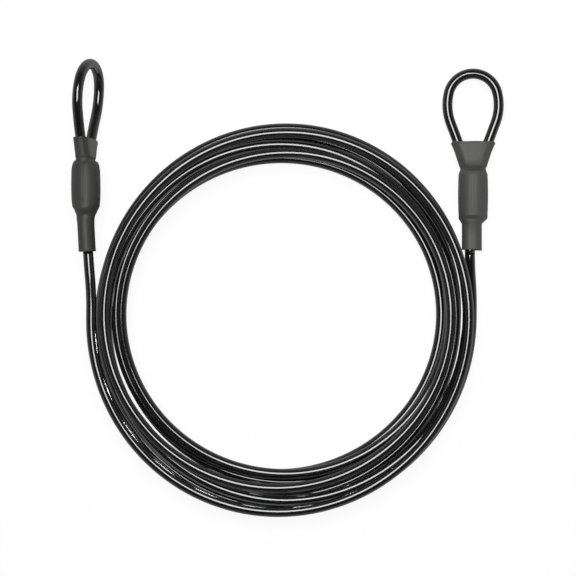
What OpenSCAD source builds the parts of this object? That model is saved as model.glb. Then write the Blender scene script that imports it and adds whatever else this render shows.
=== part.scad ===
// Two-eye security cable: a vinyl-coated wire rope, wound into a loose coil of four layers.
// Each end is bent back on itself into an eye, closed by a pressed aluminium ferrule over the two
// passes, and the ferrule is covered by a heat-shrink sleeve that flares out over the eye's legs.
// +Z is up, and the coil lies on z = 0. An end's own frame has its origin in the middle of the
// ferrule's mouth, +Y along the ferrule towards the eye's crown, and X across the eye.

/* [Cable] */
// Diameter of the cable over its vinyl jacket
cable_d = 5; // [4.6:0.1:5.4]
// Diameter of the steel wire rope in the jacket
rope_d = 3.6; // [3:0.1:4]
// Gap on the radius between the wire rope and the jacket
rope_gap = 0.05; // [0.02:0.01:0.1]

/* [Coil] */
// Turns from the left end to the right end, one half turn more than a whole number
coil_turns = 7.5; // [5.5:1:9.5]
// Mean radius of the turns, on the cable's centre line
coil_r = 84.9; // [80:0.1:92]
// How far the turns lie off centre
coil_shift = 2.4; // [0:0.1:3]
// How far the turns are drawn into an oval
coil_oval = 0.4; // [0:0.1:1]
// Mean half width of the band, from its middle to the centre line of its last turn
band_half = 8.5; // [7.5:0.1:9.5]
// How much wider the half band is at the bottom of the coil than at its middle
band_swell = 1.2; // [0:0.1:2]
// How much narrower the half band is at the sides of the coil
band_waist = 1; // [0:0.1:1.5]
// How far the turns sway in and out of the steady spiral
coil_sway = 1.65; // [0:0.05:2.4]
// Free gap between the layers of the coil
layer_gap = 0.45; // [0.42:0.01:1]

/* [Eyes] */
// Width of an eye over its two limbs
eye_w = 30.2; // [27:0.1:34]
// Angle at which each leg of an eye opens out of the ferrule
leg_angle = 20.6; // [16:0.1:24]
// Radius of an eye's sides, on the cable's centre line
side_r = 25.2; // [20:0.1:30]
// How much smaller the crown's radius is than half the eye's width
crown_ease = 0.4; // [0.1:0.05:1]
// Radius of the bend in each leg at the ferrule's mouth
mouth_bend_r = 10.6; // [6:0.2:12]

/* [Ferrules] */
// Length of a ferrule
ferrule_len = 22; // [18:0.5:26]
// Wall of a ferrule outside the two passes of the cable
ferrule_wall = 1.25; // [1:0.05:2]
// Thickness of a ferrule, across the plane of the eye
ferrule_t = 11.8; // [10:0.1:13]
// Chamfer round a ferrule's ends
ferrule_chamfer = 1.2; // [0.4:0.1:1.6]
// Gap between the two passes of the cable in a ferrule
pass_gap = 0.1; // [0.05:0.05:0.5]
// Gap on the radius between the cable and a ferrule's bore
bore_gap = 0.03; // [0.02:0.01:0.08]
// How far the cable's cut end stands out of the ferrule
stub_len = 0.6; // [0.2:0.1:1]

/* [Sleeves] */
// Length of a heat-shrink sleeve
sleeve_len = 55; // [50:0.5:60]
// Wall of a sleeve over the ferrule
sleeve_wall = 0.8; // [0.5:0.1:1.2]
// Wall of a sleeve where it is stretched over the eye's legs
flare_wall = 0.4; // [0.3:0.05:0.6]
// Gap between a sleeve and what it covers
sleeve_gap = 0.1; // [0.05:0.05:0.3]
// Wall of a sleeve's tail
tail_wall = 0.6; // [0.4:0.05:1]
// How much a sleeve bellies out over the middle of the ferrule
sleeve_belly = 0.15; // [0:0.05:0.5]
// How far the left sleeve reaches past its ferrule's mouth
left_reach = 12; // [9:0.5:18]
// How far the right sleeve reaches past its ferrule's mouth
right_reach = 15.5; // [9:0.5:18]
// How far a sleeve stands off each leg at the waist, beside the ferrule's mouth
waist_slack = 0.6; // [0:0.1:1]
// Width of a sleeve's tail
tail_w = 9.8; // [9.4:0.1:12]
// Thickness of a sleeve's tail
tail_t = 8.1; // [7.6:0.1:10]
// How far a sleeve's tail lies off the ferrule's middle, towards the cable
tail_offset = 0.6; // [0.4:0.1:1]
// How far the cable drifts back to the middle on its way down the tail
tail_drift = 1; // [0.5:0.1:1.2]

/* [Hidden] */
$fn = 64;

JACKET = [0.09, 0.09, 0.1];
STEEL = [0.62, 0.64, 0.66];
ALUMINIUM = [0.75, 0.76, 0.78];
SLEEVE = [0.27, 0.27, 0.27];

UP = [0, 0, 1];
HALF_TURN = 180;
NO_FLOOR = -1000;

cable_r = cable_d / 2;
rope_r = rope_d / 2;
bore_r = rope_r + rope_gap;

// Coil
COIL_CENTRE = [-5.03, -15.2];
LAYERS = 4;
REVERSALS = [0.265, 0.49, 0.753]; // where the spiral reverses, as shares of the turns
SWAY_TURNS = 5.3;               // length of one sway in and out
SWAY_START = 8;
RINGS_PER_TURN = 24;
COIL_SIDES = 6;
CHECKS_PER_TURN = 96;
FLAT_CUT = cable_d / 10;        // depth of the flat on which the lowest turns lie
SHIFT_DIR = 34;                 // where the turns lie furthest off centre
OVAL_DIR = 50;                  // along the oval's long axis
SWELL_DIR = 282;                // where the band swells
WAIST_DIR = 0;                  // where the band is drawn in, and opposite
TIP = 0.97;                     // roundness of the spiral's reversals, 1 for a sharp one
CLIMB_TURNS = 0.5;              // length of the climb from one layer to the next
layer_pitch = cable_d + layer_gap;
coil_z = cable_r - FLAT_CUT;

// Ends: place of the ferrule's mouth, turn about Z, pitch of the crown and roll about the axis
LEFT_HEADING = 0.85;
LEFT_PITCH = -4.4;
LEFT_ROLL = 73.3;
LEFT_BOW = 3.9;                 // how far the left eye's crown bows out of the ferrule's plane
BOW_START = 6;                  // the bow begins this far past the ferrule's mouth
BOW_SPAN = 44;
left_mouth = [COIL_CENTRE.x - coil_r - 8.7, 60, 16.75];
right_mouth = [
    COIL_CENTRE.x + coil_r + 10.6, 56.3, ferrule_t / 2 + sleeve_gap + sleeve_wall + sleeve_belly
];

// Eye
pass_x = (cable_d + pass_gap) / 2;
limb_x = (eye_w - cable_d) / 2;
crown_r = limb_x - crown_ease;
side_past = acos((side_r - limb_x) / (side_r - crown_r));
leg_len = (limb_x - pass_x - (mouth_bend_r + side_r) * (1 - cos(leg_angle))) / sin(leg_angle);
TAIL_BEND_R = 20;
tail_bend = acos(1 - tail_drift / (2 * TAIL_BEND_R));
CUT_OVER = 1;                   // how far a cutter runs past the face that it opens
EYE_SIDES = 12;
LEG_STEPS = 3;
BEND_STEP = 11;                 // largest turn between two rings of an eye, in degrees

// Leads
LEAD_SIDES = 12;
LEAD_STEPS = 8;
LEAD_HANDLE = 0.4;              // handle of a lead's curve, as a share of its span

// Sleeve
ARC_POINTS = 14;                // points on each round end of a sleeve's section
STEPS_EASED = 4;                // rings on an eased stretch of a sleeve
STEPS_PLAIN = 2;                // rings on a straight stretch of a sleeve
WAIST_Y = 1.8;                  // where the sleeve is drawn in, past the ferrule's mouth
SHOULDER = 3.6;                 // length of the shoulder between the ferrule and the tail

// ---- helpers ----

function unit(v) = v / norm(v);
function ease(t) = t * t * (3 - 2 * t);
function clamp01(t) = max(0, min(1, t));
function mix(a, b, t) = a + (b - a) * t;
function total(v, i = 0) = i < len(v) ? v[i] + total(v, i + 1) : 0;

// ---- path of the coil ----

function coil_angle(u) = HALF_TURN + 360 * u;
SPIRAL_PHASE = concat(
    [[0, 0]],
    [for (i = [0 : LAYERS - 2]) [REVERSALS[i], HALF_TURN * (i + 1)]],
    [[1, HALF_TURN * LAYERS]]
);
function spiral_wave(u) = asin(TIP * cos(lookup(u / coil_turns, SPIRAL_PHASE))) / asin(TIP);
function band_middle(a) =
    coil_r + coil_shift * cos(a - SHIFT_DIR) + coil_oval * cos(2 * (a - OVAL_DIR));
function band_reach(a) =
    band_half + band_swell * cos(a - SWELL_DIR) - band_waist * cos(2 * (a - WAIST_DIR));
function coil_radius(u) =
    band_middle(coil_angle(u)) + band_reach(coil_angle(u)) * spiral_wave(u)
    + coil_sway * sin(360 * u / SWAY_TURNS + SWAY_START);
function layers_down(u) = total([
    for (share = REVERSALS) ease(clamp01((u - share * coil_turns) / CLIMB_TURNS + 0.5))
]);
function coil_point(u) = [
    COIL_CENTRE.x + coil_radius(u) * cos(coil_angle(u)),
    COIL_CENTRE.y + coil_radius(u) * sin(coil_angle(u)),
    coil_z + layer_pitch * (LAYERS - 1 - layers_down(u))
];

ring_count = coil_turns * RINGS_PER_TURN;
coil_turns_points = [for (i = [0 : ring_count]) coil_point(i / RINGS_PER_TURN)];
STEP_U = 0.001;
coil_start_dir = unit(coil_point(0) - coil_point(STEP_U));
coil_end_dir = unit(coil_point(coil_turns) - coil_point(coil_turns - STEP_U));
coil_start = coil_point(0) + cable_d * coil_start_dir;
coil_end = coil_point(coil_turns) + cable_d * coil_end_dir;
coil_path = concat([coil_start], coil_turns_points, [coil_end]);

// ---- swept tubes ----

function path_dir(path, i, first, last) =
    i == 0 ? first : i == len(path) - 1 ? last : unit(path[i + 1] - path[i - 1]);
function across(dir) = unit(cross(dir, UP));
function ring(centre, dir, r, sides, floor_z) = [
    for (k = [0 : sides - 1])
        let (a = 360 * k / sides,
             p = centre + r * cos(a) * across(dir) + r * sin(a) * cross(across(dir), dir))
        [p.x, p.y, max(p.z, floor_z)]
];
function rings(path, dirs, r, sides, floor_z) = [
    for (i = [0 : len(path) - 1]) each ring(path[i], dirs[i], r, sides, floor_z)
];
function skin(count, sides, base, flip) = [
    for (i = [0 : count - 2], k = [0 : sides - 1])
        let (a = base + i * sides + k,
             b = base + i * sides + (k + 1) % sides,
             quads = [[a, b, b + sides], [a, b + sides, a + sides]])
        for (q = quads) flip ? [q[2], q[1], q[0]] : q
];
function washer(outer, inner, sides, flip) = [
    for (k = [0 : sides - 1])
        let (n = (k + 1) % sides,
             quads = [[outer + k, inner + n, outer + n], [outer + k, inner + k, inner + n]])
        for (q = quads) flip ? [q[2], q[1], q[0]] : q
];
function disc(base, sides, flip) = [
    for (k = [1 : sides - 2]) flip ? [base, base + k + 1, base + k] : [base, base + k, base + k + 1]
];

// Solid tube along a path
module swept_rod(path, dirs, r, sides) {
    count = len(path);
    polyhedron(
        points = rings(path, dirs, r, sides, NO_FLOOR),
        faces = concat(
            skin(count, sides, 0, true),
            disc(0, sides, false),
            disc((count - 1) * sides, sides, true)
        ),
        convexity = 10
    );
}

// Hollow tube along a path, open at both ends, and flat where it would dip under floor_z
module swept_tube(path, dirs, r_out, r_in, sides, floor_z = NO_FLOOR) {
    count = len(path);
    inner = count * sides;
    last = (count - 1) * sides;
    polyhedron(
        points = concat(
            rings(path, dirs, r_out, sides, floor_z),
            rings(path, dirs, r_in, sides, floor_z)
        ),
        faces = concat(
            skin(count, sides, 0, true),
            skin(count, sides, inner, false),
            washer(0, inner, sides, true),
            washer(last, inner + last, sides, false)
        ),
        convexity = 10
    );
}

// ---- coil ----

coil_dirs = [
    for (i = [0 : len(coil_path) - 1]) i <= 1 ? -coil_start_dir
        : i >= len(coil_path) - 2 ? coil_end_dir
        : path_dir(coil_path, i, -coil_start_dir, coil_end_dir)
];

module coil_jacket() {
    color(JACKET) swept_tube(coil_path, coil_dirs, cable_r, bore_r, COIL_SIDES, 0);
}

module coil_wire_rope() {
    color(STEEL) swept_rod(coil_path, coil_dirs, rope_r, COIL_SIDES);
}

// ---- frames of the two ends ----

module at_left_end() {
    translate(left_mouth)
        rotate([LEFT_PITCH, 0, LEFT_HEADING])
            rotate([0, LEFT_ROLL, 0])
                mirror([1, 0, 0]) children();
}

module at_right_end() {
    translate(right_mouth) children();
}

// A point in the left or the right end's own frame, given in the part's frame
function turn_x(p, a) = [p.x, p.y * cos(a) - p.z * sin(a), p.y * sin(a) + p.z * cos(a)];
function turn_y(p, a) = [p.x * cos(a) + p.z * sin(a), p.y, p.z * cos(a) - p.x * sin(a)];
function turn_z(p, a) = [p.x * cos(a) - p.y * sin(a), p.x * sin(a) + p.y * cos(a), p.z];
function left_dir(p) =
    turn_z(turn_x(turn_y([-p.x, p.y, p.z], LEFT_ROLL), LEFT_PITCH), LEFT_HEADING);
function left_point(p) = left_mouth + left_dir(p);
function right_point(p) = right_mouth + p;

// ---- leads ----

function exit_point(reach) = [tail_drift - pass_x, reach - sleeve_len, 0];
function bezier(a, b, c, d, t) =
    a * pow(1 - t, 3) + 3 * b * t * pow(1 - t, 2) + 3 * c * t * t * (1 - t) + d * pow(t, 3);
function lead_path(from, from_dir, to, to_dir) =
    let (handle = LEAD_HANDLE * norm(to - from))
    [for (i = [0 : LEAD_STEPS])
        bezier(from, from + handle * from_dir, to - handle * to_dir, to, i / LEAD_STEPS)];
function lead_dirs(path, first, last) =
    [for (i = [0 : len(path) - 1]) path_dir(path, i, first, last)];

left_exit = left_point(exit_point(left_reach));
left_exit_dir = left_dir([0, -1, 0]);
left_lead = lead_path(left_exit, left_exit_dir, coil_start, -coil_start_dir);
left_lead_dirs = lead_dirs(left_lead, left_exit_dir, -coil_start_dir);

right_exit = right_point(exit_point(right_reach));
right_exit_dir = [0, 1, 0];
right_lead = lead_path(coil_end, coil_end_dir, right_exit, right_exit_dir);
right_lead_dirs = lead_dirs(right_lead, coil_end_dir, right_exit_dir);

module left_lead_jacket() {
    color(JACKET) swept_tube(left_lead, left_lead_dirs, cable_r, bore_r, LEAD_SIDES, 0);
}

module left_lead_wire_rope() {
    color(STEEL) swept_rod(left_lead, left_lead_dirs, rope_r, LEAD_SIDES);
}

module right_lead_jacket() {
    color(JACKET) swept_tube(right_lead, right_lead_dirs, cable_r, bore_r, LEAD_SIDES, 0);
}

module right_lead_wire_rope() {
    color(STEEL) swept_rod(right_lead, right_lead_dirs, rope_r, LEAD_SIDES);
}

// ---- eyes ----

// A step is [length, 0] for a straight, or [radius, angle] for a bend, positive to the left. The
// heading is 0 along +Y and grows to the left.
function heading_dir(h) = [-sin(h), cos(h), 0];
function bend_rows(p, h, radius, bend) =
    let (side = sign(bend),
         n = ceil(abs(bend) / BEND_STEP),
         centre = p + side * radius * heading_dir(h + 90))
    [for (k = [1 : n])
        [centre - side * radius * heading_dir(h + bend * k / n + 90), h + bend * k / n]];
function walk(steps, p, h = 0, i = 0) =
    i == len(steps) ? [] :
    let (rows = steps[i][1] == 0
             ? [[p + steps[i][0] * heading_dir(h), h]]
             : bend_rows(p, h, steps[i][0], steps[i][1]),
         last = rows[len(rows) - 1])
    concat(rows, walk(steps, last[0], last[1], i + 1));

// From the sleeve's tail, through the ferrule, round the eye and back to the cut end
function eye_steps(reach) =
    let (drift_len = 2 * TAIL_BEND_R * sin(tail_bend),
         tail_rest = sleeve_len - reach - ferrule_len - drift_len,
         round_side = leg_angle + side_past,
         leg = [for (k = [1 : LEG_STEPS]) [leg_len / LEG_STEPS, 0]])
    [
        [tail_rest, 0],
        [TAIL_BEND_R, tail_bend],
        [TAIL_BEND_R, -tail_bend],
        [ferrule_len, 0],
        [mouth_bend_r, leg_angle],
        each leg,
        [side_r, -round_side],
        [crown_r, -(HALF_TURN - 2 * side_past)],
        [side_r, -round_side],
        each leg,
        [mouth_bend_r, leg_angle],
        [ferrule_len + stub_len, 0]
    ];
function eye_rows(reach) =
    concat([[exit_point(reach), 0]], walk(eye_steps(reach), exit_point(reach)));
function bow_share(y) = max(0, y - BOW_START) / BOW_SPAN;
function eye_path(reach, bow) = [
    for (row = eye_rows(reach)) row[0] + bow * pow(bow_share(row[0].y), 2) * UP
];
function eye_dirs(reach, bow) = [
    for (row = eye_rows(reach))
        let (dir = heading_dir(row[1]))
        unit(dir + 2 * bow / BOW_SPAN * bow_share(row[0].y) * dir.y * UP)
];

module eye_jacket(reach, bow) {
    color(JACKET)
        swept_tube(eye_path(reach, bow), eye_dirs(reach, bow), cable_r, bore_r, EYE_SIDES);
}

module eye_wire_rope(reach, bow) {
    color(STEEL) swept_rod(eye_path(reach, bow), eye_dirs(reach, bow), rope_r, EYE_SIDES);
}

module left_eye_jacket() {
    at_left_end() eye_jacket(left_reach, LEFT_BOW);
}

module left_eye_wire_rope() {
    at_left_end() eye_wire_rope(left_reach, LEFT_BOW);
}

module right_eye_jacket() {
    at_right_end() eye_jacket(right_reach, 0);
}

module right_eye_wire_rope() {
    at_right_end() eye_wire_rope(right_reach, 0);
}

// ---- ferrules ----

ferrule_w = 2 * (pass_x + cable_r + ferrule_wall);
ferrule_core = (ferrule_w - ferrule_t) / 2;

function ferrule_outline() =
    let (r = ferrule_t / 2, c = ferrule_chamfer, l = ferrule_len)
    [[0, 0], [r - c, 0], [r, c], [r, l - c], [r - c, l], [0, l]];

// Two barrels and the slab between them, with the two passes' bores through it
module ferrule() {
    color(ALUMINIUM) difference() {
        rotate([90, 0, 0]) union() {
            for (side = [-1, 1])
                translate([side * ferrule_core, 0, 0]) rotate_extrude() polygon(ferrule_outline());
            for (half = [0, 1])
                mirror([0, half, 0])
                    rotate([90, 0, 90])
                        linear_extrude(height = 2 * ferrule_core, center = true)
                            polygon(ferrule_outline());
        }
        for (side = [-1, 1])
            translate([side * pass_x, CUT_OVER, 0])
                rotate([90, 0, 0])
                    cylinder(h = ferrule_len + 2 * CUT_OVER, r = cable_r + bore_gap);
    }
}

module left_ferrule() {
    at_left_end() ferrule();
}

module right_ferrule() {
    at_right_end() ferrule();
}

// ---- heat-shrink sleeves ----

// Half the width over the legs at a distance past the ferrule's mouth
function leg_reach(y) =
    let (bend_y = mouth_bend_r * sin(leg_angle), bend_x = mouth_bend_r * (1 - cos(leg_angle)))
    pass_x + bend_x + (y - bend_y) * tan(leg_angle) + cable_r / cos(leg_angle);

// Stations of the sleeve's inside: [y, half width, half thickness, offset, wall, eased after it]
function sleeve_stations(reach) =
    let (w = ferrule_w / 2 + sleeve_gap,
         t = ferrule_t / 2 + sleeve_gap,
         c = ferrule_chamfer,
         l = ferrule_len,
         film = cable_r + sleeve_gap,
         tail_y = reach - sleeve_len,
         tail_a = tail_w / 2 - tail_wall,
         tail_b = tail_t / 2 - tail_wall)
    [
        [reach, leg_reach(reach) + sleeve_gap, film, 0, flare_wall, false],
        [WAIST_Y, leg_reach(WAIST_Y) + waist_slack, film, 0, (sleeve_wall + flare_wall) / 2, true],
        [-c, w, t, 0, sleeve_wall, true],
        [-l / 2, w + sleeve_belly, t + sleeve_belly, 0, sleeve_wall, true],
        [c - l, w, t, 0, sleeve_wall, false],
        [-l, w, t, 0, sleeve_wall, true],
        [-l - SHOULDER, tail_a, tail_b, -tail_offset, tail_wall, false],
        [tail_y, tail_a, tail_b, -tail_offset, tail_wall, false]
    ];

function sleeve_rings(reach) =
    let (s = sleeve_stations(reach))
    concat(
        [for (i = [0 : len(s) - 2])
            let (n = s[i][5] ? STEPS_EASED : STEPS_PLAIN)
            for (k = [0 : n - 1])
                let (f = k / n, e = s[i][5] ? ease(f) : f)
                [mix(s[i][0], s[i + 1][0], f), for (j = [1 : 4]) mix(s[i][j], s[i + 1][j], e)]],
        [s[len(s) - 1]]
    );

function oval(y, a, b, offset) = [
    for (side = [1, -1], k = [0 : ARC_POINTS - 1])
        let (t = (side > 0 ? -90 : 90) + HALF_TURN * k / (ARC_POINTS - 1))
        [offset + side * (a - b) + b * cos(t), y, b * sin(t)]
];

module sleeve(reach) {
    rows = sleeve_rings(reach);
    sides = 2 * ARC_POINTS;
    inner = len(rows) * sides;
    last = (len(rows) - 1) * sides;
    color(SLEEVE) polyhedron(
        points = concat(
            [for (s = rows) each oval(s[0], s[1] + s[4], s[2] + s[4], s[3])],
            [for (s = rows) each oval(s[0], s[1], s[2], s[3])]
        ),
        faces = concat(
            skin(len(rows), sides, 0, true),
            skin(len(rows), sides, inner, false),
            washer(0, inner, sides, true),
            washer(last, inner + last, sides, false)
        ),
        convexity = 10
    );
}

module left_shrink_sleeve() {
    at_left_end() sleeve(left_reach);
}

module right_shrink_sleeve() {
    at_right_end() sleeve(right_reach);
}

// ---- measures of the coil ----

function path_length(p) = total([for (i = [1 : len(p) - 1]) norm(p[i] - p[i - 1])]);
least_gap = min([
    for (m = [1 : floor(coil_turns)], i = [0 : (coil_turns - m) * CHECKS_PER_TURN])
        norm(coil_point(i / CHECKS_PER_TURN) - coil_point(i / CHECKS_PER_TURN + m)) - cable_d
]);
echo(least_gap_of_the_coil_to_itself = least_gap);
echo(cable_length_between_the_sleeves =
    path_length(left_lead) + path_length(coil_path) + path_length(right_lead));
echo(lead_starts = [left_exit, right_exit], coil_ends = [coil_start, coil_end]);

// ---- the part ----

coil_jacket();
coil_wire_rope();
left_lead_jacket();
left_lead_wire_rope();
right_lead_jacket();
right_lead_wire_rope();
left_eye_jacket();
left_eye_wire_rope();
right_eye_jacket();
right_eye_wire_rope();
left_ferrule();
right_ferrule();
left_shrink_sleeve();
right_shrink_sleeve();
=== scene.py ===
"""Two-eye security cable: a coiled vinyl-coated steel rope with a sleeved eye at each end."""

import math

import bmesh
import bpy
from bpy.props import (
    FloatProperty,
    FloatVectorProperty,
    IntProperty,
    PointerProperty,
)
from mathutils import Matrix, Vector


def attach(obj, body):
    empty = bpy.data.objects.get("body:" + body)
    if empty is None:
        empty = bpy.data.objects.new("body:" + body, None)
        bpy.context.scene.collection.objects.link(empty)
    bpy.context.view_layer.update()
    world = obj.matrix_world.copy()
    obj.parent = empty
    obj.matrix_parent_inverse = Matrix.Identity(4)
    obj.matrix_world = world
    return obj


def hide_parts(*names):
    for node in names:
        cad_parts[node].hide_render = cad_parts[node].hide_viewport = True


bl_info = {
    "name": "Two-eye security cable",
    "version": (1, 0, 0),
    "blender": (4, 5, 0),
    "location": "3D View > Sidebar > Cable",
    "description": "Builds a coiled security cable with two crimped and sleeved eyes",
    "category": "Add Mesh",
}

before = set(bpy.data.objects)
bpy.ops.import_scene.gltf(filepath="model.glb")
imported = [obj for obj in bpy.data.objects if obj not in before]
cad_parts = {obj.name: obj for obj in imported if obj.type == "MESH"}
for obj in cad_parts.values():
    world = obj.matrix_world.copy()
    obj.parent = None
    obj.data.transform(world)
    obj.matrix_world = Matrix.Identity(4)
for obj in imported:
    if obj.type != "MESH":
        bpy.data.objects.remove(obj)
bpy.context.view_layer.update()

MM = 0.001
TURN = 2 * math.pi
UP = Vector((0, 0, 1))

# Coil: where the wound turns lie, and how they spiral in and out
COIL_CENTRE = Vector((-5.18, -15.37, 0)) * MM
LAYERS = 4
REVERSALS = (0.265, 0.49, 0.753)
SWAY_TURNS = 5.3
SWAY_START = math.radians(8)
SHIFT_DIR = math.radians(34)
OVAL_DIR = math.radians(50)
SWELL_DIR = math.radians(282)
TIP = 0.97
CLIMB_TURNS = 0.5
BED_SHARE = 0.4
RINGS_PER_TURN = 144
STEP_U = 0.001

# Ends: the ferrules' mouths, and how the left end is rolled and pitched
LEFT_MOUTH = Vector((-98.63, 60, 16.75)) * MM
LEFT_HEADING = math.radians(0.85)
LEFT_ROLL = math.radians(73.3)
LEFT_PITCH = math.radians(-4.4)
LEFT_BOW = 3.9 * MM
BOW_START = 6 * MM
BOW_SPAN = 44 * MM
RIGHT_MOUTH = Vector((90.47, 56.3, 6.95)) * MM

# Leads: from the coil to the sleeves
LEAD_HANDLE = 0.4
LEAD_RINGS = 24

# Eye: the path of the cable through the ferrule and round the eye
LEG_ANGLE = math.radians(20.6)
SIDE_R = 25.2 * MM
CROWN_EASE = 0.4 * MM
MOUTH_BEND_R = 10.6 * MM
PASS_GAP = 0.1 * MM
TAIL_BEND_R = 20 * MM
TAIL_DRIFT = 1 * MM
STUB_LEN = 0.6 * MM
EYE_TURN_STEP = math.radians(3)
EYE_RUN_STEP = 1.5 * MM

# Sleeve: the way that it sits on the ferrule and the legs
SLEEVE_GAP = 0.1 * MM
SLEEVE_BELLY = 0.15 * MM
WAIST_Y = 1.8 * MM
WAIST_SLACK = 0.6 * MM
SHOULDER = 3.6 * MM
TAIL_OFFSET = 0.6 * MM
FERRULE_CHAMFER = 1.2 * MM
STEEP_SHARE = 0.58
STEEP_DROP = 2.2 * MM
SLOW_DROP = 10 * MM
SIDE_PUSH = 4
SLEEVE_SIDES = 112
SLEEVE_STEP = 0.3 * MM

# Film: its lips, the crease at the ferrule, the pleats on its shoulder and the die's ridges
LIP_IN = 0.65 * MM
LIP_WIDTH = 0.32 * MM
TAIL_LIP_SHARE = 0.4
TAIL_LIP_IN = 0.6 * MM
TAIL_LIP_WIDTH = 0.5 * MM
DIVE_LEN = 4.6 * MM
CREASE_Y = 2.0 * MM
LEG_CREASE = 0.14 * MM
LEG_CREASE_WIDTH = 0.5 * MM
FLAT_CREASE = 0.25 * MM
FLAT_CREASE_WIDTH = 0.4 * MM
FLAT_SWELL = 1.0 * MM
SWELL_Y = 0.6 * MM
SWELL_WIDTH = 0.8 * MM
END_RUN = 2 * MM
THIN_RUN = 4 * MM
FULL_RUN = 5 * MM
TAIL_THIN_RUN = 3 * MM
SHOULDER_Y = 1.2 * MM
SHOULDER_WIDTH = 1.3 * MM
PLEAT_STEP = 1.35 * MM
PLEAT_SLANT = 5
NECK_PLEATS = 7
NECK_SHARE = 0.4
NECK_Y = 0.6 * MM
NECK_WIDTH = 1.1 * MM
RIDGE_IN = 0.2 * MM
RIDGE_RISE = 1.2 * MM
RIDGE_END = 1 * MM
RIDGE_WIDTH = 0.006
FLARE_RUN = 6 * MM
TAIL_RUN = 5 * MM
STRETCH_RUN = 3 * MM
FLAT_FROM = 0.2
FLAT_OVER = 0.5
SLANT_FROM = -0.05
SLANT_OVER = 0.5

# Tone of the film: where it pales round the section, partly its own pallor and partly a painted
# reflection; a band of painted shade; and the painted shade of its crease
PALLOR_AND_LIGHT_SHIFT = 0.03
PAINTED_SHADE_PLACE = 0.11
PAINTED_SHADE_WIDTH = 0.03
PAINTED_SHADE_DEPTH = 0.25
PAINTED_CREASE_SHADE = 0.35
PAINTED_CREASE_WIDTH = 0.6 * MM

# Groups of pleats on the shoulder: place round the section, width and depth
PLEATS = ((0.13, 0.07, 1.0), (0.36, 0.06, 0.4))

# How the die's ridges wander round the section: reach, wave and start
RIDGE_WANDER = ((0.0016, 1.7 * MM, 0.0), (0.001, 0.71 * MM, 1.0))

# The dips of a mouth: how deep a share and how sharp, at its sides and at its top and bottom
SIDE_DIP = (1.0, 5)
FACE_DIP = (0.4, 9)

# Ripple of the flare's mouth: height, waves round it and start
MOUTH_RIPPLE = ((0.09 * MM, 11, 0.0), (0.05 * MM, 23, 1.0))
TAIL_RIPPLE = (0.05 * MM, 5)

# How each sleeve has shrunk: its tone, lowered on the left sleeve as painted shade, and how much
# it pales where it is stretched, partly its own pallor and partly a painted reflection; how full
# it is between the legs, and the dip and slant of its mouth; thinner ends over the ferrule; the
# cut of its tail all round, at the top and at the left, and its thinning; where the die ridges
# show, as shares of the way round, and how high
SHRUNK = {
    "left": {
        # the left sleeve's low tone is painted shade, for the less light that falls on it
        "tone": 0.56,
        # its large stretch paints the film between the legs paler, mostly as a painted reflection
        # of the floor
        "stretch": 1.0,
        "fuller": 0.1,
        "dip": 0.1 * MM,
        "slant": 2.1 * MM,
        "thin_ends": 0.38 * MM,
        "tail_cut": (0.3 * MM, 0.0, 0.35 * MM),
        "tail_thin": 0.22 * MM,
        "pleats": 0.35,
        "ridges": ((0.05, 0.7), (0.44, 0.6), (0.17, 0.35), (0.93, 0.4)),
    },
    "right": {
        "tone": 1.05,
        "stretch": 0.08,
        "fuller": 1.0,
        "dip": 1.1 * MM,
        "slant": 0.0,
        "thin_ends": 0.1 * MM,
        "tail_cut": (1.4 * MM, 0.25 * MM, 0.25 * MM),
        "tail_thin": 0.0,
        "pleats": 1.0,
        "ridges": ((0.077, 1.0), (0.423, 1.0), (0.27, 0.8), (0.74, 0.5)),
    },
}
TAIL_SHIFT = -0.45 * MM
TAIL_LEAN = 0.045
LEAN_RUN = 5 * MM
LEANING_SHARE = 0.4

# Stage: the softbox, the camera and the card
SOFTBOX_PLACE = (-0.04, 0.20, 1.12)
SOFTBOX_SIZE = (0.52, 0.56)
CAMERA_ASIDE = (-0.42 * MM, -0.35 * MM)
SENSOR_WIDTH = 36
COIL_LEVEL = 0.009
FLOOR_HALF = 4.0
CARD_GLOW = 1.09
SEEN_GLOW = 0.82
MIRRORED_GLOW = 0.15


# ---- settings ----


class CableSizes(bpy.types.PropertyGroup):
    """Sizes of the rope, its jacket, the coil and the eyes"""

    cable_d: FloatProperty(
        name="Cable diameter",
        description="Outer diameter of the vinyl jacket",
        default=5 * MM,
        unit="LENGTH",
    )
    coil_turns: FloatProperty(
        name="Turns", description="Turns in the coil", default=7.5
    )
    coil_r: FloatProperty(
        name="Coil radius",
        description="Mean radius of the coil",
        default=84.9 * MM,
        unit="LENGTH",
    )
    coil_shift: FloatProperty(
        name="Coil shift",
        description="How far the turns lie off the coil's centre",
        default=2.4 * MM,
        unit="LENGTH",
    )
    coil_oval: FloatProperty(
        name="Coil oval",
        description="How far the turns are drawn into an oval",
        default=0.4 * MM,
        unit="LENGTH",
    )
    band_half: FloatProperty(
        name="Band half width",
        description="Half the width of the band of turns, from centre line to centre line",
        default=8.8 * MM,
        unit="LENGTH",
    )
    band_swell: FloatProperty(
        name="Band swell",
        description="Extra half width of the band at the bottom of the coil",
        default=1.2 * MM,
        unit="LENGTH",
    )
    band_waist: FloatProperty(
        name="Band waist",
        description="How much narrower the half band is at the coil's sides",
        default=1 * MM,
        unit="LENGTH",
    )
    coil_sway: FloatProperty(
        name="Sway",
        description="Slow drift of the turns in and out",
        default=1.65 * MM,
        unit="LENGTH",
    )
    layer_gap: FloatProperty(
        name="Layer gap",
        description="Gap between one layer of turns and the next",
        default=0.45 * MM,
        unit="LENGTH",
    )
    eye_w: FloatProperty(
        name="Eye width",
        description="Outer width of an eye",
        default=30.2 * MM,
        unit="LENGTH",
    )
    sides: IntProperty(
        name="Facets", description="Facets round the cable", default=24
    )


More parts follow.
